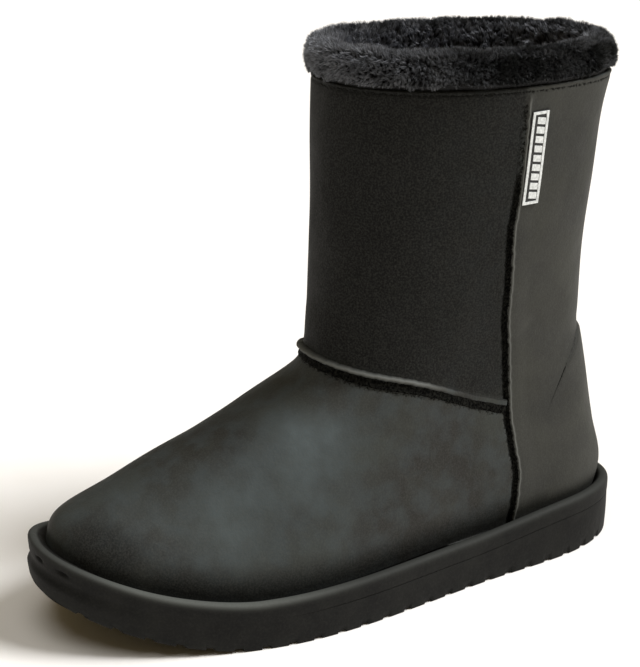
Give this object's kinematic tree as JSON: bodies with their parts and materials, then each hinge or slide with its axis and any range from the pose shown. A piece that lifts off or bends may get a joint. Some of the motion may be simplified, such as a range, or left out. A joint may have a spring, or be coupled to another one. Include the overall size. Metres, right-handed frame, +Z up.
{
  "type": "snow boot",
  "caption": "Left snow boot: moulded foam shell on a thick lugged sole, deep pile liner with a rolled cuff, ankle rib, heel counter and a small bare side tag.",
  "frame": {"origin": "on the floor, under the middle of the boot's bounding box", "axes": "+Z up, the toe points along -Y, the outer side of the left foot along +X"},
  "size_m": [0.1162, 0.295, 0.2562],
  "materials": {
    "sole_foam": "moulded foam with a fine matt skin, near-black charcoal",
    "shell_foam": "moulded foam with a finely grained matt skin, near-black with an olive tinge",
    "pile": "deep knitted pile, black with grey tips",
    "insole_felt": "short dark felt",
    "woven_tag": "woven label, black with a pale border and plain bars"
  },
  "bodies": {
    "root": {"sole": "sole_foam", "upper": "shell_foam", "fur_collar": "pile", "fur_heel": "pile", "fur_toe": "pile", "insole": "insole_felt", "heel_counter": "shell_foam", "ankle_rib": "shell_foam", "side_tag": "woven_tag"}
  },
  "joints": []
}
